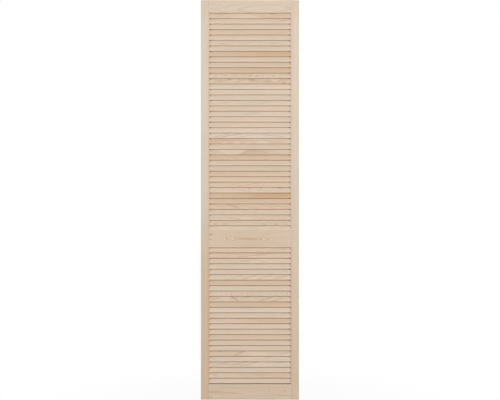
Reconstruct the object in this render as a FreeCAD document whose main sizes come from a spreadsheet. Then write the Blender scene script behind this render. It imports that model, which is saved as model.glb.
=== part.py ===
import FreeCAD, Part
import os

import Sketcher

# A slatted door leaf of bare pine, in millimetres.
# Two stiles run the full height. Three rails butt between them on wooden dowels, and each rail
# end is scribed over the chamfer that runs along the inner edges of the stiles. Thin slats fill
# the two bays like roof tiles: the lower edge of each lies towards the front face, the upper
# edge towards the back, and both ends are housed in slanted slots in the stiles.
# The origin is at the middle of the leaf's foot: X to the right, Y from the front face to the
# back, Z up.

SIZES = {
    # The leaf
    "door_height": 2013,
    "door_width": 494,
    "door_thickness": 20,
    # Stiles, the chamfer along their inner edges, and the rounding of every other long edge
    "stile_width": 42,
    "stile_chamfer": 4,
    "edge_round": 1,
    # Rails: their heights, and how high the lower edge of the middle one lies above the foot
    "top_rail_height": 64,
    "middle_rail_height": 87,
    "bottom_rail_height": 79,
    "middle_rail_level": 767,
    # Slats: thickness, tilt from upright, how far they stay behind both faces of the leaf, how
    # much each one covers of the next as seen from the front, and the clearance round them
    "slat_thickness": 6,
    "slat_tilt_degrees": 22,
    "slat_setback": 1.93,
    "slat_lap": 3.63,
    "slat_fit": 0.1,
    # How far the lower edge of each bay's first slat lies below the rail
    "upper_first_reveal": 28.25,
    "lower_first_reveal": 26.8,
    # The slots that house the slat ends: how deep the slat goes, and the space beyond its end
    "slat_housing": 9,
    "slot_end_gap": 0.5,
    # Dowels, the clearance round them and beyond their ends, and the distance of their middle
    # from the edges of the rail
    "dowel_diameter": 8,
    "dowel_length": 40,
    "dowel_bevel": 1,
    "dowel_fit": 0.1,
    "dowel_end_gap": 2,
    "dowel_inset": 16,
}

# What follows from the driving dimensions, in the order in which each needs the ones before
WORKED = {
    "half_thickness": "Sizes.door_thickness / 2",
    "outer_x": "Sizes.door_width / 2",
    "inner_x": "outer_x - Sizes.stile_width",
    "shoulder_x": "inner_x + Sizes.stile_chamfer",
    "shoulder_y": "half_thickness - Sizes.stile_chamfer",
    "top_rail_level": "Sizes.door_height - Sizes.top_rail_height",
    "middle_rail_crest": "Sizes.middle_rail_level + Sizes.middle_rail_height",
    # A slat's section is a flat strip with round edges: the centres of the two edges lie this
    # far to either side of its middle, in depth and in height
    "slat_radius": "Sizes.slat_thickness / 2",
    "slat_reach": "half_thickness - Sizes.slat_setback - slat_radius",
    "slat_climb": "slat_reach / tan(Sizes.slat_tilt_degrees)",
    "slat_rise": "2 * (slat_climb + slat_radius)",
    "slat_pitch": "slat_rise - Sizes.slat_lap",
    "slat_length": "2 * (inner_x + Sizes.slat_housing)",
    "slot_radius": "slat_radius + Sizes.slat_fit",
    "slot_depth": "Sizes.slat_housing + Sizes.slot_end_gap",
    # Slats follow the first of a bay at the pitch until what is left above the lower rail is
    # narrower than a slat is thick
    "upper_bay": "top_rail_level - middle_rail_crest",
    "lower_bay": "Sizes.middle_rail_level - Sizes.bottom_rail_height",
    "upper_first": "top_rail_level - Sizes.upper_first_reveal + slat_rise / 2",
    "lower_first": "Sizes.middle_rail_level - Sizes.lower_first_reveal + slat_rise / 2",
    "upper_taken": "Sizes.upper_first_reveal + Sizes.slat_thickness",
    "lower_taken": "Sizes.lower_first_reveal + Sizes.slat_thickness",
    "upper_steps": "ceil((upper_bay - upper_taken) / slat_pitch)",
    "lower_steps": "ceil((lower_bay - lower_taken) / slat_pitch)",
    # Dowels and their holes
    "dowel_radius": "Sizes.dowel_diameter / 2",
    "dowel_hole_radius": "dowel_radius + Sizes.dowel_fit",
    "dowel_hole_depth": "Sizes.dowel_length / 2 + Sizes.dowel_end_gap",
}

TOLERANCE = 1e-6
LEFT = -1
RIGHT = 1
SLATS_IN_A_PAIR = 2

doc = FreeCAD.newDocument("slatted_door")
sheet = doc.addObject("Spreadsheet::Sheet", "Sizes")
for row, (alias, value) in enumerate(SIZES.items(), start=1):
    sheet.set(f"A{row}", alias)
    sheet.set(f"B{row}", str(value))
    sheet.setAlias(f"B{row}", alias)
doc.recompute()

worked = doc.addObject("App::VarSet", "Worked")
for name, formula in WORKED.items():
    worked.addProperty("App::PropertyFloat", name, "Worked")
    worked.setExpression(name, formula)
doc.recompute()


def size(formula):
    """The present value of a formula over the two tables."""
    return float(worked.evalExpression(formula))


# Sketches and features
def new_body(label):
    """An empty sub-part, which may hold several solids of one kind."""
    body = doc.addObject("PartDesign::Body", label)
    body.Label = label
    body.AllowCompound = True
    return body


def origin_plane(body, role):
    """One of the sub-part's own three planes."""
    return next(part for part in body.Origin.OriginFeatures if part.Role == role)


def new_sketch(body, name, role, offset=None):
    """A sketch on an origin plane of the sub-part, moved along the plane's normal by a formula."""
    sketch = body.newObject("Sketcher::SketchObject", f"{body.Label}_{name}")
    sketch.AttachmentSupport = [(origin_plane(body, role), "")]
    sketch.MapMode = "FlatFace"
    if offset:
        sketch.setExpression(".AttachmentOffset.Base.z", offset)
    return sketch


def pin_point(sketch, element, point, across, up):
    """Binds a point of the sketch to its two formulas, measured from the sketch's origin."""
    for kind, formula in (("DistanceX", across), ("DistanceY", up)):
        place = Sketcher.Constraint(kind, -1, 1, element, point, size(formula))
        index = sketch.addConstraint(place)
        sketch.setExpression(f"Constraints[{index}]", formula)


def draw_outline(sketch, corners):
    """A closed outline of straight lines through corners given as pairs of formulas."""
    points = [FreeCAD.Vector(size(across), size(up), 0) for across, up in corners]
    following = points[1:] + points[:1]
    for start, end in zip(points, following):
        sketch.addGeometry(Part.LineSegment(start, end))
    for number in range(len(points)):
        before = (number - 1) % len(points)
        sketch.addConstraint(Sketcher.Constraint("Coincident", before, 2, number, 1))
        pin_point(sketch, number, 1, *corners[number])


def draw_circle(sketch, radius, across, up):
    """A circle whose radius and centre are formulas."""
    centre = FreeCAD.Vector(size(across), size(up), 0)
    normal = FreeCAD.Vector(0, 0, 1)
    circle = sketch.addGeometry(Part.Circle(centre, normal, size(radius)))
    index = sketch.addConstraint(Sketcher.Constraint("Radius", circle, size(radius)))
    sketch.setExpression(f"Constraints[{index}]", radius)
    pin_point(sketch, circle, 3, across, up)


def draw_slat_section(sketch, radius, level):
    """A strip with round edges, its lower edge to the front, its middle at a level."""
    low = FreeCAD.Vector(size("-Worked.slat_reach"), size(f"{level} - Worked.slat_climb"), 0)
    high = FreeCAD.Vector(size("Worked.slat_reach"), size(f"{level} + Worked.slat_climb"), 0)
    along = (high - low).normalize()
    side = FreeCAD.Vector(-along.y, along.x, 0) * size(radius)
    reach = along * size(radius)
    low_arc = Part.Arc(low + side, low - reach, low - side)
    high_arc = Part.Arc(high - side, high + reach, high + side)
    sketch.addGeometry(low_arc)
    sketch.addGeometry(Part.LineSegment(low - side, high - side))
    sketch.addGeometry(high_arc)
    sketch.addGeometry(Part.LineSegment(high + side, low + side))
    for number in range(4):
        following = (number + 1) % 4
        joint = Sketcher.Constraint("Tangent", number, 2, following, 1)
        sketch.addConstraint(joint)
    index = sketch.addConstraint(Sketcher.Constraint("Radius", 0, size(radius)))
    sketch.setExpression(f"Constraints[{index}]", radius)
    pin_point(sketch, 0, 3, "-Worked.slat_reach", f"{level} - Worked.slat_climb")
    pin_point(sketch, 2, 3, "Worked.slat_reach", f"{level} + Worked.slat_climb")


def new_feature(kind, sketch, name, length, symmetric=False, reverse=False):
    """A pad or pocket of a sketch, its length bound to a formula."""
    body = sketch.getParentGeoFeatureGroup()
    feature = body.newObject(f"PartDesign::{kind}", f"{body.Label}_{name}")
    feature.Profile = sketch
    feature.SideType = "Symmetric" if symmetric else "One side"
    feature.Reversed = reverse
    feature.setExpression("Length", length)
    sketch.Visibility = False
    doc.recompute()
    return feature


def repeat_along_height(feature, name, spacing, occurrences, downwards):
    """A row of copies of a feature along the height; the count may be a number or a formula."""
    body = feature.getParentGeoFeatureGroup()
    pattern = body.newObject("PartDesign::LinearPattern", f"{body.Label}_{name}")
    pattern.Originals = [feature]
    pattern.Direction = (feature.Profile[0], ["V_Axis"])
    pattern.Reversed = downwards
    pattern.Mode = "Spacing"
    pattern.setExpression("Offset", spacing)
    pattern.setExpression("Occurrences", str(occurrences))
    body.Tip = pattern
    doc.recompute()
    return pattern


def mirror_left_to_right(body, name, feature=None):
    """Mirrors one feature, or the whole sub-part, in the upright plane through the middle."""
    mirror = body.newObject("PartDesign::Mirrored", f"{body.Label}_{name}")
    if feature:
        mirror.Originals = [feature]
    else:
        mirror.TransformMode = "Whole shape"
    mirror.MirrorPlane = (origin_plane(body, "YZ_Plane"), [""])
    body.Tip = mirror
    doc.recompute()


def round_edges(body, chosen):
    """Rounds the edges of the sub-part whose two ends both pass a test of their position."""
    base = body.Tip
    names = []
    for number, edge in enumerate(base.Shape.Edges, start=1):
        ends = [vertex.Point for vertex in edge.Vertexes]
        if chosen(*ends):
            names.append(f"Edge{number}")
    fillet = body.newObject("PartDesign::Fillet", f"{body.Label}_rounding")
    fillet.Base = (base, names)
    fillet.setExpression("Radius", "Sizes.edge_round")
    doc.recompute()


def same(one, other):
    return abs(one - other) < TOLERANCE


def both_on_a_face(start, end):
    """Whether both ends of an edge lie in the same broad face of the leaf."""
    on_face = same(abs(start.y), size("Worked.half_thickness"))
    return on_face and same(start.y, end.y)


# Slots in the stiles
def cut_slots(stile, side, bay):
    """The row of slanted slots of one bay, open to the stile's inner edge and its chamfers."""
    face = f"{side} * Worked.inner_x"
    sketch = new_sketch(stile, f"{bay}_slot_sketch", "YZ_Plane", face)
    draw_slat_section(sketch, "Worked.slot_radius", f"Worked.{bay}_first")
    slot = new_feature("Pocket", sketch, f"{bay}_slot", "Worked.slot_depth", reverse=side == RIGHT)
    count = f"1 + Worked.{bay}_steps"
    repeat_along_height(slot, f"{bay}_slots", "Worked.slat_pitch", count, downwards=True)


# Rails, from the top: each one's height and the level of its lower edge
RAILS = {
    "top": ("Sizes.top_rail_height", "Worked.top_rail_level"),
    "middle": ("Sizes.middle_rail_height", "Sizes.middle_rail_level"),
    "bottom": ("Sizes.bottom_rail_height", "0"),
}


def dowel_levels(rail):
    """The heights of the two dowels in each end of a rail."""
    height, level = RAILS[rail]
    return f"{level} + Sizes.dowel_inset", f"{level} + {height} - Sizes.dowel_inset"


# Stiles
def make_stile(label, side):
    """A full-height stile with a chamfered inner edge, slots for the slats and dowel holes."""
    stile = new_body(label)
    section = new_sketch(stile, "section", "XY_Plane")
    outer, inner, shoulder = (
        f"{side} * Worked.{place}_x" for place in ("outer", "inner", "shoulder")
    )
    draw_outline(
        section,
        [
            (outer, "-Worked.half_thickness"),
            (shoulder, "-Worked.half_thickness"),
            (inner, "-Worked.shoulder_y"),
            (inner, "Worked.shoulder_y"),
            (shoulder, "Worked.half_thickness"),
            (outer, "Worked.half_thickness"),
        ],
    )
    new_feature("Pad", section, "length", "Sizes.door_height")

    def is_outer(start, end):
        outside = same(start.x, size(outer)) and same(end.x, size(outer))
        level = same(start.z, end.z)
        along_a_face = both_on_a_face(start, end)
        return (outside and (level or along_a_face)) or (level and along_a_face)

    round_edges(stile, is_outer)
    cut_slots(stile, side, "upper")
    cut_slots(stile, side, "lower")

    holes = new_sketch(stile, "dowel_hole_sketch", "YZ_Plane", inner)
    for rail in RAILS:
        for level in dowel_levels(rail):
            draw_circle(holes, "Worked.dowel_hole_radius", "0", level)
    new_feature("Pocket", holes, "dowel_holes", "Worked.dowel_hole_depth", reverse=side == RIGHT)
    return stile


# Rails
def make_rail(rail):
    """A rail with scribed ends that fit over the chamfers of the stiles, and dowel holes."""
    height, level = RAILS[rail]
    body = new_body(f"rail_{rail}")
    outline = new_sketch(body, "outline", "XY_Plane", level)
    draw_outline(
        outline,
        [
            ("-Worked.shoulder_x", "-Worked.half_thickness"),
            ("Worked.shoulder_x", "-Worked.half_thickness"),
            ("Worked.inner_x", "-Worked.shoulder_y"),
            ("Worked.inner_x", "Worked.shoulder_y"),
            ("Worked.shoulder_x", "Worked.half_thickness"),
            ("-Worked.shoulder_x", "Worked.half_thickness"),
            ("-Worked.inner_x", "Worked.shoulder_y"),
            ("-Worked.inner_x", "-Worked.shoulder_y"),
        ],
    )
    new_feature("Pad", outline, "height", height)

    def is_long(start, end):
        return both_on_a_face(start, end) and same(start.z, end.z)

    round_edges(body, is_long)
    holes = new_sketch(body, "dowel_hole_sketch", "YZ_Plane", "Worked.inner_x")
    for dowel_level in dowel_levels(rail):
        draw_circle(holes, "Worked.dowel_hole_radius", "0", dowel_level)
    right = new_feature("Pocket", holes, "dowel_holes_right", "Worked.dowel_hole_depth")
    mirror_left_to_right(body, "dowel_holes_left", right)
    return body


# Dowels
def make_dowels(rail):
    """The four bevelled dowels of a rail, each half in the rail and half in a stile."""
    height, level = RAILS[rail]
    body = new_body(f"dowels_{rail}")
    near = "Worked.inner_x - Sizes.dowel_length / 2"
    far = "Worked.inner_x + Sizes.dowel_length / 2"
    bevel_height = "Worked.dowel_radius - Sizes.dowel_bevel"
    profile = new_sketch(body, "profile", "XZ_Plane")
    draw_outline(
        profile,
        [
            (near, "0"),
            (far, "0"),
            (far, bevel_height),
            (f"{far} - Sizes.dowel_bevel", "Worked.dowel_radius"),
            (f"{near} + Sizes.dowel_bevel", "Worked.dowel_radius"),
            (near, bevel_height),
        ],
    )
    dowel = body.newObject("PartDesign::Revolution", f"{body.Label}_turning")
    dowel.Profile = profile
    dowel.ReferenceAxis = (profile, ["H_Axis"])
    profile.Visibility = False
    doc.recompute()
    spacing = f"{height} - 2 * Sizes.dowel_inset"
    repeat_along_height(dowel, "pair", spacing, 2, downwards=False)
    mirror_left_to_right(body, "other_end")
    body.setExpression(".Placement.Base.z", f"{level} + Sizes.dowel_inset")
    return body


# Slats
def rip(slats, name, below, above):
    """Takes off the wood of a sub-part between two levels."""
    waste = new_sketch(slats, f"{name}_sketch", "YZ_Plane")
    draw_outline(
        waste,
        [
            ("-Worked.half_thickness", below),
            ("Worked.half_thickness", below),
            ("Worked.half_thickness", above),
            ("-Worked.half_thickness", above),
        ],
    )
    new_feature("Pocket", waste, name, "Worked.slat_length", symmetric=True)


def make_slats(bay, first, count, ceiling, crest):
    """One node of slats, counted down from the rail above the bay, the first at its middle.

    A slat that would pass the rail above or the rail below is ripped flat just clear of it."""
    last = first + count - 1
    label = f"{bay}_slat_{first:02d}" if count == 1 else f"{bay}_slats_{first:02d}_{last:02d}"
    slats = new_body(label)
    section = new_sketch(slats, "section", "YZ_Plane")
    draw_slat_section(section, "Worked.slat_radius", "0")
    slat = new_feature("Pad", section, "blank", "Worked.slat_length", symmetric=True)
    if count > 1:
        repeat_along_height(slat, "row", "Worked.slat_pitch", count, downwards=True)
    level = f"Worked.{bay}_first - {first - 1} * Worked.slat_pitch"
    slats.setExpression(".Placement.Base.z", level)

    highest = f"{ceiling} - Sizes.slat_fit - ({level})"
    if size("Worked.slat_rise / 2") > size(highest) + TOLERANCE:
        rip(slats, "head_waste", highest, f"{highest} + Worked.slat_rise")
    lowest = f"{crest} + Sizes.slat_fit - ({level})"
    last_foot = f"-{count - 1} * Worked.slat_pitch - Worked.slat_rise / 2"
    if size(last_foot) < size(lowest) - TOLERANCE:
        rip(slats, "foot_waste", f"{lowest} - Worked.slat_rise", lowest)
    return slats


bodies = [make_stile("stile_left", LEFT), make_stile("stile_right", RIGHT)]
for rail_name in RAILS:
    bodies.append(make_rail(rail_name))
    bodies.append(make_dowels(rail_name))

upper_count = 1 + round(size("Worked.upper_steps"))
for number in range(1, upper_count + 1, SLATS_IN_A_PAIR):
    in_this_node = min(SLATS_IN_A_PAIR, upper_count + 1 - number)
    upper_bay = ("Worked.top_rail_level", "Worked.middle_rail_crest")
    bodies.append(make_slats("upper", number, in_this_node, *upper_bay))

lower_count = 1 + round(size("Worked.lower_steps"))
for number in range(1, lower_count + 1):
    lower_bay = ("Sizes.middle_rail_level", "Sizes.bottom_rail_height")
    bodies.append(make_slats("lower", number, 1, *lower_bay))

doc.recompute()

# Nothing is written unless every feature worked, every cut removed wood and every shape is sound
for item in doc.Objects:
    if "Invalid" in item.State or "Error" in item.State:
        raise RuntimeError(f"{item.Label} failed: {item.State}")
    if item.isDerivedFrom("PartDesign::Pocket"):
        if item.Shape.Volume > item.BaseFeature.Shape.Volume - TOLERANCE:
            raise RuntimeError(f"{item.Label} cuts nothing")
for body in bodies:
    if body.Shape.isNull() or not body.Shape.isValid():
        raise RuntimeError(f"{body.Label} has no sound shape")

os.makedirs("parts", exist_ok=True)
for body in bodies:
    body.Shape.exportStep(f"parts/{body.Label}.step")
    print(body.Label, len(body.Shape.Solids), "solids", round(body.Shape.Volume), "cubic mm")
print("slat pitch", size("Worked.slat_pitch"), "slats", upper_count, lower_count)
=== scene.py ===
import math

import bpy
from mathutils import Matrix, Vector


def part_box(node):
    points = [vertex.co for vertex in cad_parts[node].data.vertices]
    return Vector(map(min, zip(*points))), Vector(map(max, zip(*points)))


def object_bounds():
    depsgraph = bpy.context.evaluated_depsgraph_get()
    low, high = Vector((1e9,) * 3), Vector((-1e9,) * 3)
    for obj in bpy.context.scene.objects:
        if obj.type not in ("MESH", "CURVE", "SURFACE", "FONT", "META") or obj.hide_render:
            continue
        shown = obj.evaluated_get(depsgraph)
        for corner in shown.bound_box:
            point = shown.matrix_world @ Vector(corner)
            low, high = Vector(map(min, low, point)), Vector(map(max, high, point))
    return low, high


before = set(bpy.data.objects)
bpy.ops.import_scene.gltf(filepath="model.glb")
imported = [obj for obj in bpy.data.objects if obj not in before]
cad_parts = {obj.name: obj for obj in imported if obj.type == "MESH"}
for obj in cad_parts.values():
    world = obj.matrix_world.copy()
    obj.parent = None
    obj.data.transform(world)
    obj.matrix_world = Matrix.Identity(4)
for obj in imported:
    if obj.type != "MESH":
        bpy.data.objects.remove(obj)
cad_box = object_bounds()
mm = 0.001

# The stiles are the two full-height uprights, planed pine with straight, close grain, sanded and
# left bare. The wood is pale and pinkish at the head and warmer towards the foot. A chamfer runs
# down the inner edge of each, slanted slots in it house the slats, and the ends are sawn square.


def math_node(tree, operation, *values):
    """A Math node fed with numbers or sockets; gives its output."""
    made = tree.nodes.new("ShaderNodeMath")
    made.operation = operation
    for socket, value in zip(made.inputs, values):
        plug(tree, value, socket)
    return made.outputs[0]


def plug(tree, value, socket):
    """Sets a socket to a number or colour, or links it to another socket."""
    if isinstance(value, bpy.types.NodeSocket):
        tree.links.new(value, socket)
    else:
        socket.default_value = value


def smooth_step(tree, value, start, end, least=0.0, most=1.0):
    """The least below start, the most above end, and a smooth slope between them."""
    made = tree.nodes.new("ShaderNodeMapRange")
    made.interpolation_type = "SMOOTHSTEP"
    given = (
        ("Value", value),
        ("From Min", start),
        ("From Max", end),
        ("To Min", least),
        ("To Max", most),
    )
    for name, entry in given:
        plug(tree, entry, made.inputs[name])
    return made.outputs["Result"]


def stretched_noise(tree, along, across, depth, scales, detail=2.0):
    """Noise from 0 to 1 whose grains are long along the wood, with scales per metre."""
    place = tree.nodes.new("ShaderNodeCombineXYZ")
    for socket, value, scale in zip(place.inputs, (along, across, depth), scales):
        plug(tree, math_node(tree, "MULTIPLY", value, scale), socket)
    made = tree.nodes.new("ShaderNodeTexNoise")
    made.inputs["Scale"].default_value = 1.0
    made.inputs["Detail"].default_value = detail
    tree.links.new(place.outputs[0], made.inputs["Vector"])
    return made.outputs["Fac"]


def blend_colours(tree, share, first, second, kind="MIX"):
    """Two colours blended by a share."""
    made = tree.nodes.new("ShaderNodeMix")
    made.data_type = "RGBA"
    made.blend_type = kind
    plug(tree, share, made.inputs[0])
    plug(tree, first, made.inputs[6])
    plug(tree, second, made.inputs[7])
    return made.outputs[2]


def paint(red, green, blue):
    """A colour given as screen values from 0 to 255, for a socket that wants linear light."""
    shares = (value / 255 for value in (red, green, blue))
    linear = (s / 12.92 if s <= 0.04045 else ((s + 0.055) / 1.055) ** 2.4 for s in shares)
    return (*linear, 1.0)


def pine_group():
    """Pine as it grows: rings round a pith, pale soft wood with thin harder brown lines.

    Along, Across and Depth are metres in the board. The pith lies at Pith Across, Pith Depth.
    The rings close into a flame round Flame Place, over about Flame Length, and a knot's Push
    bends them. Warmth goes from 0, pale and pinkish, to 1, golden brown."""
    tree = bpy.data.node_groups.new("pine", "ShaderNodeTree")
    entries = {
        "Along": 0.0,
        "Across": 0.0,
        "Depth": 0.0,
        "Pith Across": 0.0,
        "Pith Depth": 30 * mm,
        "Flame Place": 0.0,
        "Flame Length": 35 * mm,
        "Flame Slope": 0.05,
        "Push": 0.0,
        "Sway": 1.0,
        "Ring Width": 2.5 * mm,
        "Ring Contrast": 1.0,
        "Warmth": 0.3,
        "Seed": 0.0,
    }
    for name, value in entries.items():
        socket = tree.interface.new_socket(name, in_out="INPUT", socket_type="NodeSocketFloat")
        socket.default_value = value
    for name, kind in (
        ("Colour", "NodeSocketColor"),
        ("Roughness", "NodeSocketFloat"),
        ("Height", "NodeSocketFloat"),
        ("From Pith", "NodeSocketFloat"),
    ):
        tree.interface.new_socket(name, in_out="OUTPUT", socket_type=kind)
    given = tree.nodes.new("NodeGroupInput").outputs
    seed = given["Seed"]
    along = math_node(tree, "MULTIPLY_ADD", seed, 3.7, given["Along"])
    across = math_node(tree, "MULTIPLY_ADD", seed, 1.3, given["Across"])
    depth = math_node(tree, "MULTIPLY_ADD", seed, 0.9, given["Depth"])

    # How far from the pith, with the trunk's sweep and the small waves of the fibres
    off_across = math_node(tree, "SUBTRACT", given["Across"], given["Pith Across"])
    off_depth = math_node(tree, "SUBTRACT", given["Depth"], given["Pith Depth"])
    squares = math_node(tree, "MULTIPLY", off_across, off_across)
    squares = math_node(tree, "MULTIPLY_ADD", off_depth, off_depth, squares)
    from_pith = math_node(tree, "SQRT", squares)
    run = math_node(tree, "SUBTRACT", given["Along"], given["Flame Place"])
    length = given["Flame Length"]
    squares = math_node(tree, "MULTIPLY", run, run)
    squares = math_node(tree, "MULTIPLY_ADD", length, length, squares)
    taper = math_node(tree, "SUBTRACT", math_node(tree, "SQRT", squares), length)
    from_pith = math_node(tree, "MULTIPLY_ADD", taper, given["Flame Slope"], from_pith)
    from_pith = math_node(tree, "ADD", from_pith, given["Push"])
    for scales, reach in (((2.3, 14, 14), 7 * mm), ((11, 70, 70), 1.6 * mm)):
        sway = stretched_noise(tree, along, across, depth, scales)
        sway = math_node(tree, "MULTIPLY", math_node(tree, "SUBTRACT", sway, 0.5), reach)
        from_pith = math_node(tree, "MULTIPLY_ADD", sway, given["Sway"], from_pith)
    years = math_node(tree, "DIVIDE", from_pith, given["Ring Width"])
    year = math_node(tree, "FLOOR", years)
    season = math_node(tree, "SUBTRACT", years, year)

    # Each year's soft wood darkens slowly into a brown line, and stops short
    luck = tree.nodes.new("ShaderNodeTexWhiteNoise")
    luck.noise_dimensions = "2D"
    place = tree.nodes.new("ShaderNodeCombineXYZ")
    tree.links.new(year, place.inputs[0])
    tree.links.new(seed, place.inputs[1])
    tree.links.new(place.outputs[0], luck.inputs["Vector"])
    grow = smooth_step(tree, season, 0.35, 0.93)
    stop = smooth_step(tree, season, 0.95, 1.0)
    line = math_node(tree, "SUBTRACT", grow, stop)
    line = math_node(tree, "POWER", line, 1.6)
    strength = math_node(tree, "MULTIPLY_ADD", luck.outputs["Value"], 0.7, 0.3)
    line = math_node(tree, "MULTIPLY", line, strength)
    line = math_node(tree, "MULTIPLY", line, given["Ring Contrast"])

    # Fibres, resin canals and slow changes of tone
    fibre = stretched_noise(tree, along, across, depth, (22, 1500, 1500), 3.0)
    canal = stretched_noise(tree, along, across, depth, (95, 2600, 2600), 1.0)
    canal = smooth_step(tree, canal, 0.64, 0.74)
    cloud = stretched_noise(tree, along, across, depth, (4, 60, 60), 3.0)
    cloud = smooth_step(tree, cloud, 0.3, 0.7)

    pale = blend_colours(tree, cloud, paint(230, 212, 195), paint(222, 209, 191))
    golden = blend_colours(tree, cloud, paint(210, 173, 134), paint(205, 172, 133))
    soft = blend_colours(tree, given["Warmth"], pale, golden)
    hard = blend_colours(tree, given["Warmth"], paint(205, 172, 138), paint(172, 129, 86))
    colour = blend_colours(tree, line, soft, hard)
    colour = blend_colours(
        tree, math_node(tree, "MULTIPLY", canal, 0.3), colour, paint(160, 122, 88)
    )
    shade = math_node(tree, "MULTIPLY_ADD", fibre, 0.16, 0.92)
    grey = tree.nodes.new("ShaderNodeCombineColor")
    for socket in grey.inputs:
        tree.links.new(shade, socket)
    colour = blend_colours(tree, 1.0, colour, grey.outputs[0], "MULTIPLY")

    roughness = math_node(tree, "MULTIPLY_ADD", line, -0.14, 0.72)
    roughness = math_node(tree, "MULTIPLY_ADD", fibre, 0.12, roughness)
    height = math_node(tree, "MULTIPLY_ADD", line, 0.5, fibre)
    height = math_node(tree, "MULTIPLY_ADD", canal, -0.8, height)
    leave = tree.nodes.new("NodeGroupOutput").inputs
    made = {"Colour": colour, "Roughness": roughness, "Height": height, "From Pith": from_pith}
    for name, socket in made.items():
        tree.links.new(socket, leave[name])
    return tree


pine = pine_group()


def pine_material(name):
    """A bare pine material. Gives it with its tree, its pine node and a point's X, Y and Z."""
    made = bpy.data.materials.new(name)
    made.use_nodes = True
    tree = made.node_tree
    shader = tree.nodes["Principled BSDF"]
    shader.inputs["Specular IOR Level"].default_value = 0.3
    grain = tree.nodes.new("ShaderNodeGroup")
    grain.node_tree = pine
    tree.links.new(grain.outputs["Roughness"], shader.inputs["Roughness"])
    relief = tree.nodes.new("ShaderNodeBump")
    relief.inputs["Strength"].default_value = 0.5
    relief.inputs["Distance"].default_value = 0.08 * mm
    tree.links.new(grain.outputs["Height"], relief.inputs["Height"])
    tree.links.new(relief.outputs["Normal"], shader.inputs["Normal"])

    # Sanding rubs the arrises a little paler, and the paler arrises also stand in as a painted
    # highlight
    rounded = tree.nodes.new("ShaderNodeBevel")
    rounded.samples = 4
    rounded.inputs["Radius"].default_value = 1.2 * mm
    surface = tree.nodes.new("ShaderNodeNewGeometry")
    turned = tree.nodes.new("ShaderNodeVectorMath")
    turned.operation = "DOT_PRODUCT"
    tree.links.new(rounded.outputs[0], turned.inputs[0])
    tree.links.new(surface.outputs["Normal"], turned.inputs[1])
    rubbed_and_highlit = smooth_step(tree, turned.outputs["Value"], 0.8, 0.99, 0.35, 0.0)
    colour = blend_colours(tree, rubbed_and_highlit, grain.outputs["Colour"], paint(227, 215, 203))
    tree.links.new(colour, shader.inputs["Base Color"])

    split = tree.nodes.new("ShaderNodeSeparateXYZ")
    coordinates = tree.nodes.new("ShaderNodeTexCoord")
    tree.links.new(coordinates.outputs["Object"], split.inputs[0])
    return made, tree, grain, split.outputs


def set_grain(tree, grain, **sizes):
    """Plugs the pine node's sockets, named with _ for a space."""
    for name, value in sizes.items():
        plug(tree, value, grain.inputs[name.replace("_", " ").title()])


def tint(tree, share, shade):
    """Lays a shade over the colour that the material has so far."""
    target = tree.nodes["Principled BSDF"].inputs["Base Color"]
    colour = blend_colours(tree, share, target.links[0].from_socket, shade)
    tree.links.new(colour, target)


def distance_from(tree, place, x, z, x_share=1.0):
    """How far a point of the face lies from x, z, where x_share shortens what lies along x."""
    off_x = math_node(tree, "MULTIPLY_ADD", place["X"], x_share, -x_share * x)
    off_z = math_node(tree, "SUBTRACT", place["Z"], z)
    squares = math_node(tree, "MULTIPLY", off_x, off_x)
    squares = math_node(tree, "MULTIPLY_ADD", off_z, off_z, squares)
    return math_node(tree, "SQRT", squares)


def finish_with(node, material):
    """Gives a CAD node its finish."""
    piece = bpy.data.objects[node]
    for place in piece.material_slots:
        place.material = material
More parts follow.
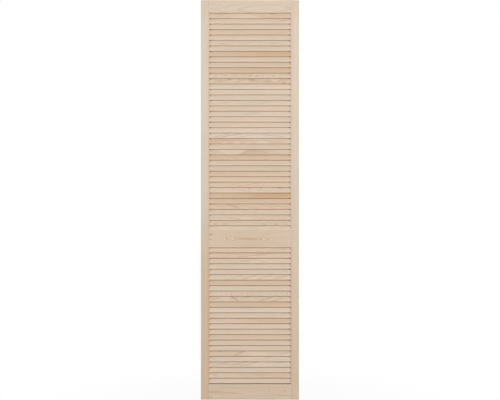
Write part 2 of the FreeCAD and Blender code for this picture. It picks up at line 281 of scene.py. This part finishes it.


# For each stile: its seed, where its pith lies, how warm its foot is, the heights between which
# that fades, how grey the foot is, how rosy its inner edge is, and how much painted light lifts
# its chamfer
for side, seed, pith, foot_warmth, (fade_from, fade_to), foot_grey, rosiness, painted_chamfer_light in (
    ("left", 1.0, -150 * mm, 0.5, (0.6, 1.05), 0.0, 0.08, 0.25),
    ("right", 2.0, 170 * mm, 0.34, (0.1, 1.1), 0.1, 0.16, 0.75),
):
    upright, tree, grain, place = pine_material(f"pine_stile_{side}")
    near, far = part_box(f"stile_{side}")
    middle = (near.x + far.x) / 2
    inwards = math_node(tree, "SUBTRACT", abs(middle), math_node(tree, "ABSOLUTE", place["X"]))

    # The last of the head is warmer again, and so is a band along the inner edge
    warmth = smooth_step(tree, place["Z"], fade_from, fade_to, foot_warmth, 0.0)
    head = smooth_step(tree, place["Z"], 1.87, 1.99, 0.0, 0.2)
    band = smooth_step(tree, inwards, 6 * mm, 14 * mm, 0.0, 0.1)
    warmth = math_node(tree, "ADD", warmth, math_node(tree, "MAXIMUM", head, band))
    set_grain(
        tree,
        grain,
        along=place["Z"],
        across=math_node(tree, "SUBTRACT", place["X"], middle),
        depth=place["Y"],
        pith_across=pith,
        pith_depth=45 * mm,
        flame_place=0.7,
        flame_length=0.5,
        flame_slope=0.004,
        ring_width=2.1 * mm,
        ring_contrast=0.5,
        warmth=warmth,
        seed=seed,
    )

    # The middle of the height has greyed and the inner edge is rosy. Painted light makes the
    # chamfer paler, higher up more than low down, and most on the right stile, whose chamfer faces
    # the weaker softbox
    head_grey = smooth_step(tree, place["Z"], 0.7, 1.6, 0.4, 0.12)
    low_grey = smooth_step(tree, place["Z"], 0.5, 0.95, foot_grey, 0.4)
    tint(tree, math_node(tree, "MINIMUM", head_grey, low_grey), paint(205, 189, 172))
    rosy = smooth_step(tree, inwards, 8 * mm, 13 * mm, 0.0, rosiness)
    tint(tree, rosy, paint(219, 168, 136))
    chamfer_light_share = smooth_step(tree, inwards, 16 * mm, 17.5 * mm, 0.0, painted_chamfer_light)
    chamfer_light_share = math_node(tree, "MULTIPLY", chamfer_light_share, smooth_step(tree, place["Z"], 0.72, 0.85, 0.2, 1.0))
    tint(tree, chamfer_light_share, paint(246, 217, 184))

    # The outer edge of the right stile cuts a pin knot, and the ends show darker end grain
    if side == "right":
        away = distance_from(tree, place, 245.5 * mm, 517 * mm)
        tint(tree, smooth_step(tree, away, 1.5 * mm, 3.8 * mm, 0.75, 0.0), paint(128, 78, 52))
    for level, inside in ((far.z, far.z - 0.5 * mm), (near.z, near.z + 0.5 * mm)):
        tint(tree, smooth_step(tree, place["Z"], inside, level, 0.0, 0.4), paint(182, 146, 110))
    finish_with(f"stile_{side}", upright)

# The rails are wider pine boards laid level between the stiles, sawn nearer the middle of the
# log, so their rings open into flames, and two of them have pin knots. Their ends are scribed
# over the stiles' chamfers and glued on dowels, which leaves a hairline joint.

# How each board was sawn: where its pith lies, and how its rings run and show
rail_grain = {
    "top": dict(
        pith_across=-12 * mm,
        pith_depth=70 * mm,
        flame_place=0.05,
        flame_length=0.05,
        flame_slope=0.03,
        sway=1.7,
        ring_width=3.6 * mm,
        ring_contrast=0.36,
        warmth=0.21,
        seed=3.0,
    ),
    "middle": dict(
        pith_depth=-6 * mm,
        flame_place=-8 * mm,
        flame_length=150 * mm,
        flame_slope=0.361,
        sway=0.4,
        ring_width=3.3 * mm,
        warmth=0.37,
        seed=4.0,
    ),
    "bottom": dict(
        pith_depth=-5 * mm,
        flame_place=-0.25,
        flame_length=0.02,
        flame_slope=0.018,
        sway=0.4,
        ring_width=4.6 * mm,
        ring_contrast=1.0,
        warmth=0.22,
        seed=5.0,
    ),
}
# Where the pin knots lie on each rail's face, across and above the foot, and their radius
pin_knots = {
    "top": (),
    "middle": ((-198 * mm, 832 * mm, 2.6 * mm), (-200 * mm, 808 * mm, 1.8 * mm)),
    "bottom": (
        (-197 * mm, 16 * mm, 1.7 * mm),
        (97 * mm, 52 * mm, 1.2 * mm),
        (176 * mm, 43 * mm, 1.1 * mm),
    ),
}
# How far the joint at either end of a rail lies from the middle of the door
shoulder = 209 * mm
for rail, sizes in rail_grain.items():
    board, tree, grain, place = pine_material(f"pine_rail_{rail}")
    near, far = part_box(f"rail_{rail}")
    middle = (near.z + far.z) / 2
    set_grain(
        tree,
        grain,
        along=place["X"],
        across=math_node(tree, "SUBTRACT", place["Z"], middle),
        depth=place["Y"],
        **sizes,
    )

    # The middle rail's pith runs a little aslant, its flame ends sooner on the right, and its
    # rings are faint beyond the flame
    push = 0.0
    if rail == "middle":
        push = smooth_step(tree, place["X"], 0.05, 0.12, -1.6 * mm, 0.6 * mm)
        aslant = math_node(tree, "MULTIPLY_ADD", place["X"], -0.0175, 0.2 * mm)
        run = math_node(tree, "ABSOLUTE", math_node(tree, "ADD", place["X"], 8 * mm))
        contrast = smooth_step(tree, run, 100 * mm, 160 * mm, 0.5, 0.15)
        set_grain(tree, grain, pith_across=aslant, ring_contrast=contrast)

    # A pin knot is a small dark disc, and the rings round it swell outwards
    for knot_x, knot_z, radius in pin_knots[rail]:
        away = distance_from(tree, place, knot_x, knot_z, 0.5)
        swell = smooth_step(tree, away, 0.0, 5 * radius, 1.4 * radius, 0.0)
        push = math_node(tree, "ADD", push, swell)
        halo = smooth_step(tree, away, 0.8 * radius, 4 * radius, 0.3, 0.0)
        tint(tree, halo, paint(196, 146, 104))
        core = smooth_step(tree, away, 0.4 * radius, 1.1 * radius, 0.7, 0.0)
        tint(tree, core, paint(150, 104, 66))
    set_grain(tree, grain, push=push)

    from_pith = grain.outputs["From Pith"]
    if rail == "middle":
        # The flame's heart is golden with a pale rim, and two of its rings stand out, each
        # followed by pale early wood
        early_wood = paint(229, 211, 190)
        rim = smooth_step(tree, from_pith, 7.4 * mm, 8.2 * mm, 0.45, 0.0)
        tint(tree, rim, early_wood)
        for ring, begin, end in ((9.1 * mm, 10 * mm, 45 * mm), (17.5 * mm, 40 * mm, 85 * mm)):
            rise = smooth_step(tree, from_pith, ring - 2.2 * mm, ring - 0.4 * mm)
            fall = smooth_step(tree, from_pith, ring - 0.4 * mm, ring)
            fade = smooth_step(tree, run, begin, end, 0.25, 0.8)
            line = math_node(tree, "MULTIPLY", math_node(tree, "SUBTRACT", rise, fall), fade)
            tint(tree, line, paint(176, 132, 94))
            lit = smooth_step(tree, from_pith, ring, ring + 0.6 * mm)
            unlit = smooth_step(tree, from_pith, ring + 1.6 * mm, ring + 3 * mm)
            glow = math_node(tree, "MULTIPLY", math_node(tree, "SUBTRACT", lit, unlit), fade)
            tint(tree, math_node(tree, "MULTIPLY", glow, 0.8), early_wood)
        at_heart = smooth_step(tree, from_pith, 5.4 * mm, 6.9 * mm, 0.6, 0.0)
        tint(tree, at_heart, paint(196, 160, 108))
    if rail == "bottom":
        # The pith runs aslant, the grain is wavy on the right, the heart is tan, a pale patch
        # lies near the left knot, and painted shade darkens the front of the top edge
        aslant = math_node(tree, "MULTIPLY_ADD", place["X"], -0.047, -9 * mm)
        wave = stretched_noise(tree, place["X"], place["Z"], place["Y"], (14, 20, 20))
        reach = smooth_step(tree, place["X"], -0.03, 0.08, 0.0, 11 * mm)
        wave = math_node(tree, "MULTIPLY", math_node(tree, "SUBTRACT", wave, 0.5), reach)
        set_grain(tree, grain, pith_across=math_node(tree, "ADD", aslant, wave))
        patch = distance_from(tree, place, -170 * mm, 18 * mm, 0.3)
        tint(tree, smooth_step(tree, patch, 3 * mm, 10 * mm, 0.45, 0.0), paint(222, 206, 190))
        at_heart = smooth_step(tree, from_pith, 8.2 * mm, 9.3 * mm, 0.42, 0.0)
        tint(tree, at_heart, paint(198, 156, 112))
        # Painted shade on the front of the top edge, under the last slat's nose
        ledge = smooth_step(tree, place["Z"], far.z - 0.1 * mm, far.z - 0.02 * mm)
        painted_ledge_shade = smooth_step(tree, place["Y"], -1 * mm, 4 * mm, 0.92, 0.1)
        tint(tree, math_node(tree, "MULTIPLY", ledge, painted_ledge_shade), paint(92, 58, 36))

    # The joint at each shoulder, a dark hairline that isn't even
    side = math_node(tree, "ABSOLUTE", place["X"])
    opening = stretched_noise(tree, place["X"], place["Z"], place["Y"], (40, 60, 60))
    joint = smooth_step(tree, side, shoulder - 0.6 * mm, shoulder - 0.35 * mm)
    joint = math_node(tree, "MULTIPLY", joint, smooth_step(tree, opening, 0.3, 0.6, 0.45, 0.9))
    tint(tree, joint, paint(118, 88, 62))
    finish_with(f"rail_{rail}", board)

# The slats are thin planed strips with round edges, ripped from many boards, so no two have the
# same tone or figure. Each leans back by the same angle, its ends are pushed into the stiles'
# slots, unglued, and painted shade darkens the deep corners beside the stiles.
slat_nodes = [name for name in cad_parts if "slat" in name]
whole_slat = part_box("lower_slat_02")
slat_rise = whole_slat[1].z - whole_slat[0].z
slat_pitch = whole_slat[1].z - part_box("lower_slat_03")[1].z
slat_tilt = math.radians(22)
normal = Vector((0, -math.cos(slat_tilt), math.sin(slat_tilt)))
upwards = Vector((0, math.sin(slat_tilt), math.cos(slat_tilt)))


def slat_material(bay, first_middle):
    """Pine whose figure and tone change from slat to slat.

    Gives the material, its tree and its pine node, and then for each point how far along the
    slat it lies, the slat's number down from 0, and how far up the slat and out of its middle."""
    strip, tree, grain, place = pine_material(f"pine_{bay}_slats")

    def distance(direction):
        """How far a point lies along a direction in the plane across the slats."""
        part = math_node(tree, "MULTIPLY", place["Y"], direction.y)
        return math_node(tree, "MULTIPLY_ADD", place["Z"], direction.z, part)

    steps = math_node(tree, "SUBTRACT", normal.z * first_middle, distance(normal))
    steps = math_node(tree, "DIVIDE", steps, slat_pitch * normal.z)
    number = math_node(tree, "ROUND", steps)
    level = math_node(tree, "MULTIPLY_ADD", number, -slat_pitch, first_middle)
    off_normal = math_node(tree, "MULTIPLY", level, -normal.z)
    off_upwards = math_node(tree, "MULTIPLY", level, -upwards.z)
    up = math_node(tree, "ADD", distance(upwards), off_upwards)
    out = math_node(tree, "ADD", distance(normal), off_normal)
    set_grain(tree, grain, along=place["X"], across=up, depth=out)
    return strip, tree, grain, place["X"], number, up, out


def chance(tree, number, seed, least, most):
    """A value for each slat, drawn between least and most."""
    draw = tree.nodes.new("ShaderNodeTexWhiteNoise")
    draw.noise_dimensions = "1D"
    plug(tree, math_node(tree, "ADD", number, seed), draw.inputs["W"])
    return math_node(tree, "MULTIPLY_ADD", draw.outputs["Value"], most - least, least)


def is_slat(tree, number, slat):
    """1 on one slat, counted from 1 at the top of its bay, and 0 on the others."""
    return math_node(tree, "COMPARE", number, slat - 1, 0.5)


def in_patch(tree, along, up, tip, half_width, way):
    """1 inside a patch that opens from its tip, up for a way of 1 and down for -1."""
    bow = math_node(tree, "MULTIPLY_ADD", along, 1 / half_width, -tip[0] / half_width)
    bow = math_node(tree, "MULTIPLY", math_node(tree, "MULTIPLY", bow, bow), slat_shows)
    above = math_node(tree, "MULTIPLY_ADD", up, way, -way * tip[1])
    inside = math_node(tree, "SUBTRACT", above, bow)
    return smooth_step(tree, inside, -3 * mm, 4 * mm)


def on_vein(tree, along, up, begin, end, width):
    """1 on the middle of a straight vein from begin to end, and 0 its width away from it."""
    length = end[0] - begin[0]
    share = math_node(tree, "MULTIPLY_ADD", along, 1 / length, -begin[0] / length)
    started = smooth_step(tree, share, -0.15, 0.15)
    not_over = smooth_step(tree, share, 1.15, 0.85)
    level = math_node(tree, "MULTIPLY_ADD", share, end[1] - begin[1], begin[1])
    off = math_node(tree, "ABSOLUTE", math_node(tree, "SUBTRACT", up, level))
    line = smooth_step(tree, off, 0.0, width, 1.0, 0.0)
    return math_node(tree, "MULTIPLY", line, math_node(tree, "MULTIPLY", started, not_over))


# About what shows of a slat, and so how far a patch opens over half its width
slat_shows = 28 * mm
last_lower_slat = 25
# Slats browner or paler than chance gives: the warmth added at the left and at the right end
tone = {
    "upper": {
        1: (0.12, 0.26),
        4: (0.2, 0.28),
        8: (0.28, 0.5),
        10: (0.14, 0.28),
        11: (0.26, 0.36),
        13: (0.0, 0.12),
        23: (-0.12, -0.08),
        24: (0.18, -0.08),
        27: (0.28, 0.26),
        30: (0.26, 0.14),
        34: (0.44, 0.78),
        35: (0.18, 0.16),
        36: (0.34, 0.3),
        38: (0.04, 0.18),
    },
    "lower": {
        2: (0.28, 0.22),
        7: (0.15, 0.15),
        8: (-0.12, -0.05),
        10: (0.14, 0.14),
        11: (0.42, 0.46),
        14: (0.1, 0.34),
        16: (0.15, 0.17),
        17: (0.2, 0.26),
        19: (-0.14, -0.12),
        20: (0.2, -0.04),
        21: (-0.14, -0.16),
        22: (-0.08, -0.16),
        24: (-0.06, 0.14),
    },
}
# The slats whose rings show, and how strongly
figured = {
    "upper": {
        1: 0.25,
        6: 0.45,
        12: 1.3,
        13: 2.0,
        24: 0.5,
        26: 0.45,
        33: 0.3,
        38: 0.35,
        39: 0.5,
    },
    "lower": {9: 0.7, 14: 0.4, 20: 0.4, 22: 0.4, 24: 0.1},
}
# Some of them lay near the pith, and so their rings run to points: how far off the pith is
# across and in depth, where the points lie, their length and slope, and the rings' width. The
# rings of these sway more by the amount that follows.
pointed = {
    "upper": {
        6: (-6 * mm, 9 * mm, 0.25, 0.05, 0.06, 4.5 * mm),
        12: (-3 * mm, 8 * mm, -0.4, 0.03, 0.08, 3.0 * mm),
        13: (-2 * mm, 8 * mm, 0.32, 0.05, 0.05, 4.6 * mm),
        24: (-8 * mm, 8 * mm, 0.3, 0.1, 0.04, 4.2 * mm),
    },
    "lower": {9: (-4 * mm, 8 * mm, 0.1, 0.02, 0.14, 3.6 * mm)},
}
pointed_sway = 1.3
# The plane cut some rings so flat that they show as a patch, like a bowl or a hill. Each has its
# slat, its tip along and up the slat and half its width in millimetres, way and strength.
pale_patches = {
    "upper": (
        (1, (-20, 4), 96, -1, 0.6),
        (13, (-72, -6), 16, 1, 0.5),
        (13, (125, -9), 30, 1, 0.45),
        (24, (-128, -5), 26, -1, 0.5),
        (24, (-66, -2), 36, -1, 0.6),
        (24, (-12, -5), 26, -1, 0.45),
        (24, (62, -3), 50, -1, 0.6),
        (26, (-86, -18), 74, 1, 0.6),
        (26, (165, -10), 60, 1, 0.3),
        (33, (-100, 0), 110, -1, 0.4),
        (33, (22, 5), 22, -1, 0.35),
    ),
    "lower": (
        (10, (-120, -13), 30, 1, 0.4),
        (22, (40, -9), 110, 1, 0.4),
    ),
}
brown_patches = {
    "upper": (
        (1, (-150, -2), 60, 1, 0.2),
        (13, (-105, 0), 24, 1, 0.5),
        (13, (10, -2), 30, 1, 0.35),
        (13, (171, -4), 16, -1, 0.5),
        (26, (20, 12), 84, -1, 0.22),
        (33, (-4, 1), 20, 1, 0.26),
        (33, (55, 2), 17, 1, 0.24),
        (33, (151, 4), 36, 1, 0.34),
    ),
    "lower": (
        (2, (60, 4), 90, 1, 0.2),
        (10, (-17, 3), 52, 1, 0.4),
        (20, (-155, 4), 26, 1, 0.35),
        (22, (146, 5), 36, 1, 0.3),
    ),
}
# Single brown veins that cross a slat aslant: the slat, where the vein begins and ends along and
# up the slat and its width in millimetres, and its strength
veins = {
    "upper": (
        (2, (110, -9), (200, 8), 3.0, 0.4),
        (19, (-30, -7), (45, 4), 3.0, 0.4),
        (23, (-190, -12), (-105, 9), 3.2, 0.5),
        (23, (-155, -14), (-45, 10), 3.4, 0.5),
        (23, (-80, -15), (10, 2), 3.0, 0.3),
        (23, (60, 2), (170, -9), 3.2, 0.4),
        (32, (-60, -10), (60, 9), 3.4, 0.35),
        (36, (-120, 9), (-60, -8), 6.0, 0.3),
    ),
    "lower": (
        (2, (-60, -10), (120, 6), 3.4, 0.35),
        (3, (-60, -12), (30, 8), 3.0, 0.3),
        (6, (-125, -14), (-35, 5), 3.4, 0.34),
        (6, (-40, -13), (38, 9), 3.8, 0.42),
        (6, (36, -14), (112, 7), 3.6, 0.36),
        (6, (120, -11), (190, 6), 3.4, 0.4),
        (10, (-198, -10), (-160, 7), 6.0, 0.3),
        (10, (-98, 11), (-58, -13), 8.0, 0.5),
        (10, (50, -11), (110, 6), 6.0, 0.4),
        (10, (105, -14), (165, 2), 5.0, 0.4),
        (20, (-80, -14), (-26, 11), 10.0, 0.34),
        (20, (90, -12), (190, 2), 3.6, 0.25),
        (22, (-90, -6), (-5, 10), 3.8, 0.45),
        (22, (-55, -14), (42, 9), 3.8, 0.5),
        (22, (-190, -10), (-110, 2), 3.4, 0.35),
    ),
}
# For each bay: the seed of its chances, its topmost node, and how strong the painted shade on its
# shaded strips is
for bay, seed, top_node, shade in (
    ("upper", 10.5, "upper_slats_01_02", 0.25),
    ("lower", 60.5, "lower_slat_01", 0.55),
):
    # The first slat is ripped along its top, so its lower edge gives the middle
    slats_in_node = 2 if bay == "upper" else 1
    lowest_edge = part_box(top_node)[0].z
    first_middle = lowest_edge + slat_rise / 2 + (slats_in_node - 1) * slat_pitch
    strip, tree, grain, along, number, up, out = slat_material(bay, first_middle)

    # Each slat's own rings, drawn by chance but for the pointed ones
    drawn = {
        "pith_across": (-30 * mm, 30 * mm),
        "pith_depth": (20 * mm, 90 * mm),
        "flame_place": (-0.3, 0.3),
        "flame_length": (0.05, 0.3),
        "flame_slope": (0.01, 0.05),
        "ring_width": (1.6 * mm, 3.0 * mm),
    }
    for turn, (name, (least, most)) in enumerate(drawn.items()):
        value = chance(tree, number, seed + 100 * turn, least, most)
        for slat, own in pointed[bay].items():
            change = math_node(tree, "SUBTRACT", own[turn], value)
            same = is_slat(tree, number, slat)
            value = math_node(tree, "MULTIPLY_ADD", same, change, value)
        set_grain(tree, grain, **{name: value})
    contrast = chance(tree, number, seed + 800, 0.08, 0.3)
    for slat, extra in figured[bay].items():
        same = is_slat(tree, number, slat)
        contrast = math_node(tree, "MULTIPLY_ADD", same, extra, contrast)
    sway = 1.0
    for slat in pointed[bay]:
        sway = math_node(tree, "MULTIPLY_ADD", is_slat(tree, number, slat), pointed_sway, sway)
    warmth = chance(tree, number, seed + 900, 0.04, 0.3)
    to_right = smooth_step(tree, along, -0.14, 0.1)
    for slat, (at_left, at_right) in tone[bay].items():
        same = is_slat(tree, number, slat)
        extra = math_node(tree, "MULTIPLY_ADD", to_right, at_right - at_left, at_left)
        warmth = math_node(tree, "MULTIPLY_ADD", same, extra, warmth)
    set_grain(
        tree,
        grain,
        ring_contrast=contrast,
        sway=sway,
        warmth=warmth,
        seed=math_node(tree, "ADD", number, seed),
    )

    # Patches and veins follow the wandering fibres, and the rings bend round the patches
    wander = stretched_noise(tree, along, number, out, (16, 7.3, 30))
    wander = math_node(tree, "SUBTRACT", wander, 0.5)
    wavy_up = math_node(tree, "MULTIPLY_ADD", wander, 9 * mm, up)
    bend = 0.0
    for patches, hue in (
        (pale_patches, paint(230, 212, 192)),
        (brown_patches, paint(188, 144, 100)),
    ):
        total = 0.0
        for slat, tip, half_width, way, strength in patches[bay]:
            tip = [value * mm for value in tip]
            inside = in_patch(tree, along, wavy_up, tip, half_width * mm, way)
            inside = math_node(tree, "MULTIPLY", is_slat(tree, number, slat), inside)
            total = math_node(tree, "MULTIPLY_ADD", inside, strength, total)
            bend = math_node(tree, "MULTIPLY_ADD", inside, 7 * mm, bend)
        tint(tree, total, hue)
    set_grain(tree, grain, push=bend)
    total = 0.0
    for slat, begin, end, width, strength in veins[bay]:
        begin, end = ([value * mm for value in point] for point in (begin, end))
        line = on_vein(tree, along, wavy_up, begin, end, width * mm)
        line = math_node(tree, "MULTIPLY", is_slat(tree, number, slat), line)
        total = math_node(tree, "MULTIPLY_ADD", line, strength, total)
    tint(tree, total, paint(176, 132, 90))

    # Painted shade browns the strip just under the next slat and the nose's underside. The first
    # slat of a bay sits under a rail, not a slat, and so gets less of it.
    deep = smooth_step(tree, up, 6 * mm, 13 * mm)
    nose = smooth_step(tree, up, -14.5 * mm, -16.4 * mm)
    deep = math_node(tree, "MULTIPLY", deep, smooth_step(tree, number, 0.2, 0.8, 0.2, 1.0))
    painted_shade = math_node(tree, "MAXIMUM", deep, nose)
    tint(tree, math_node(tree, "MULTIPLY", painted_shade, shade), paint(190, 142, 94))
    if bay == "lower":
        # Painted shade darkens the last nose, over the gap above the bottom rail
        low_nose = smooth_step(tree, up, -13.5 * mm, -15.5 * mm, 0.0, 0.48)
        last_nose_shade = math_node(tree, "MULTIPLY", is_slat(tree, number, last_lower_slat), low_nose)
        tint(tree, last_nose_shade, paint(156, 92, 34))

    # Painted shade in the corners beside the stiles, darker on the right
    fullest = smooth_step(tree, number, 22, 34, 0.45, 0.15) if bay == "upper" else 0.1
    end_shade = smooth_step(tree, along, -194 * mm, -198 * mm)
    thins = smooth_step(tree, along, -204 * mm, -201 * mm, 0.1, 1.0)
    end_shade = math_node(tree, "MULTIPLY", math_node(tree, "MULTIPLY", end_shade, thins), fullest)
    last, most = (0.3, 0.75) if bay == "upper" else (1.0, 0.85)
    at_right = smooth_step(tree, along, 195 * mm, 199.5 * mm, 0.0, most)
    thins = smooth_step(tree, along, 201 * mm, 204 * mm, 1.0, last)
    end_shade = math_node(tree, "ADD", end_shade, math_node(tree, "MULTIPLY", at_right, thins))
    haze_shade = smooth_step(tree, along, -191 * mm, -200 * mm, 0.0, 0.14)
    haze_shade = math_node(tree, "MULTIPLY", haze_shade, smooth_step(tree, up, -4 * mm, 12 * mm))
    corner_shade_total = math_node(tree, "MULTIPLY_ADD", end_shade, painted_shade, haze_shade)
    tint(tree, corner_shade_total, paint(112, 84, 60))
    for name in slat_nodes:
        if name.startswith(bay):
            finish_with(name, strip)

# The dowels are short beech pins, turned with a bevel at each end and glued half in the rail
# and half in the stile, so they are sealed in. Beech is close-grained and plain: the pine
# material serves, with close and faint rings.
pin, tree, grain, place = pine_material("beech_dowels")
set_grain(tree, grain, along=place["X"], across=place["Z"], depth=place["Y"])
set_grain(tree, grain, ring_width=1.4 * mm, ring_contrast=0.25, warmth=0.7, seed=6.0)
for rail in rail_grain:
    finish_with(f"dowels_{rail}", pin)

# A plain white floor under the door, matt paper that keeps the door's soft shadow near it and
# turns into the white all round further out


def seen_directly(tree):
    """1 for what the camera sees, also in a gloss or through glass, and 0 for bounced light."""
    path = tree.nodes.new("ShaderNodeLightPath").outputs
    direct = math_node(tree, "MAXIMUM", path["Is Camera Ray"], path["Is Glossy Ray"])
    return math_node(tree, "MAXIMUM", direct, path["Is Transmission Ray"])


floor_reach = 6.0
bpy.ops.mesh.primitive_circle_add(vertices=96, radius=floor_reach, fill_type="NGON")
floor = bpy.context.object
floor.name = "floor"
paper = bpy.data.materials.new("white_floor")
paper.use_nodes = True
tree = paper.node_tree
shader = tree.nodes["Principled BSDF"]
shader.inputs["Base Color"].default_value = (0.7, 0.7, 0.7, 1)
shader.inputs["Roughness"].default_value = 0.9
glow = tree.nodes.new("ShaderNodeEmission")
glow.inputs["Color"].default_value = (1, 1, 1, 1)
coordinates = tree.nodes.new("ShaderNodeTexCoord")
reach = tree.nodes.new("ShaderNodeVectorMath")
reach.operation = "LENGTH"
tree.links.new(coordinates.outputs["Object"], reach.inputs[0])
white_share = smooth_step(tree, reach.outputs["Value"], 0.25, 1.3, 0.945, 1.0)
both = tree.nodes.new("ShaderNodeMixShader")
tree.links.new(math_node(tree, "MULTIPLY", white_share, seen_directly(tree)), both.inputs[0])
tree.links.new(shader.outputs[0], both.inputs[1])
tree.links.new(glow.outputs[0], both.inputs[2])
tree.links.new(both.outputs[0], tree.nodes["Material Output"].inputs["Surface"])
floor.data.materials.append(paper)

# A little soft light from all round, white to the eye. Two softboxes stand in front, left and
# right, a little above the door, the right one stronger, two weaker ones behind it, level with
# its middle, and a faint one hangs over it.
world = bpy.data.worlds.new("studio")
bpy.context.scene.world = world
world.use_nodes = True
tree = world.node_tree
sky = tree.nodes["Background"]
sky.inputs["Color"].default_value = (1.0, 0.99, 0.975, 1)
sky.inputs["Strength"].default_value = 0.27
seen = tree.nodes.new("ShaderNodeBackground")
seen.inputs["Color"].default_value = (1, 1, 1, 1)
seen.inputs["Strength"].default_value = 1.0
both = tree.nodes.new("ShaderNodeMixShader")
tree.links.new(seen_directly(tree), both.inputs[0])
tree.links.new(sky.outputs[0], both.inputs[1])
tree.links.new(seen.outputs[0], both.inputs[2])
tree.links.new(both.outputs[0], tree.nodes["World Output"].inputs["Surface"])
softbox_width = 1.5
aimed_at = Vector((0, 0, 1.0))
for name, place, power in (
    ("softbox_left", (-3.2, -5.2, 2.8), 116),
    ("softbox_right", (3.2, -5.2, 2.8), 155),
    ("softbox_back_left", (-3.2, 5.2, 1.0), 80),
    ("softbox_back_right", (3.2, 5.2, 1.0), 80),
    ("softbox_above", (0.0, 0.0, 5.0), 24),
):
    lamp_data = bpy.data.lights.new(name, "AREA")
    lamp_data.shape = "SQUARE"
    lamp_data.size = softbox_width
    lamp_data.energy = power
    lamp = bpy.data.objects.new(name, lamp_data)
    lamp.location = place
    aim = aimed_at - lamp.location
    lamp.rotation_euler = aim.to_track_quat("-Z", "Y").to_euler()
    bpy.context.collection.objects.link(lamp)

# The camera looks straight on, level with the door's middle. The sight is what its picture spans
# at the door's front face.
sight_width = 2.518
camera_away = 6.0
camera_height = 1.00625
off_centre = 0.4 * mm
camera_data = bpy.data.cameras.new("camera")
camera_data.sensor_width = 36
camera_data.lens = camera_data.sensor_width * camera_away / sight_width
camera = bpy.data.objects.new("camera", camera_data)
camera.location = (off_centre, cad_box[0].y - camera_away, camera_height)
camera.rotation_euler = (math.radians(90), 0, 0)
bpy.context.collection.objects.link(camera)
scene = bpy.context.scene
scene.camera = camera
scene.view_settings.view_transform = "Standard"
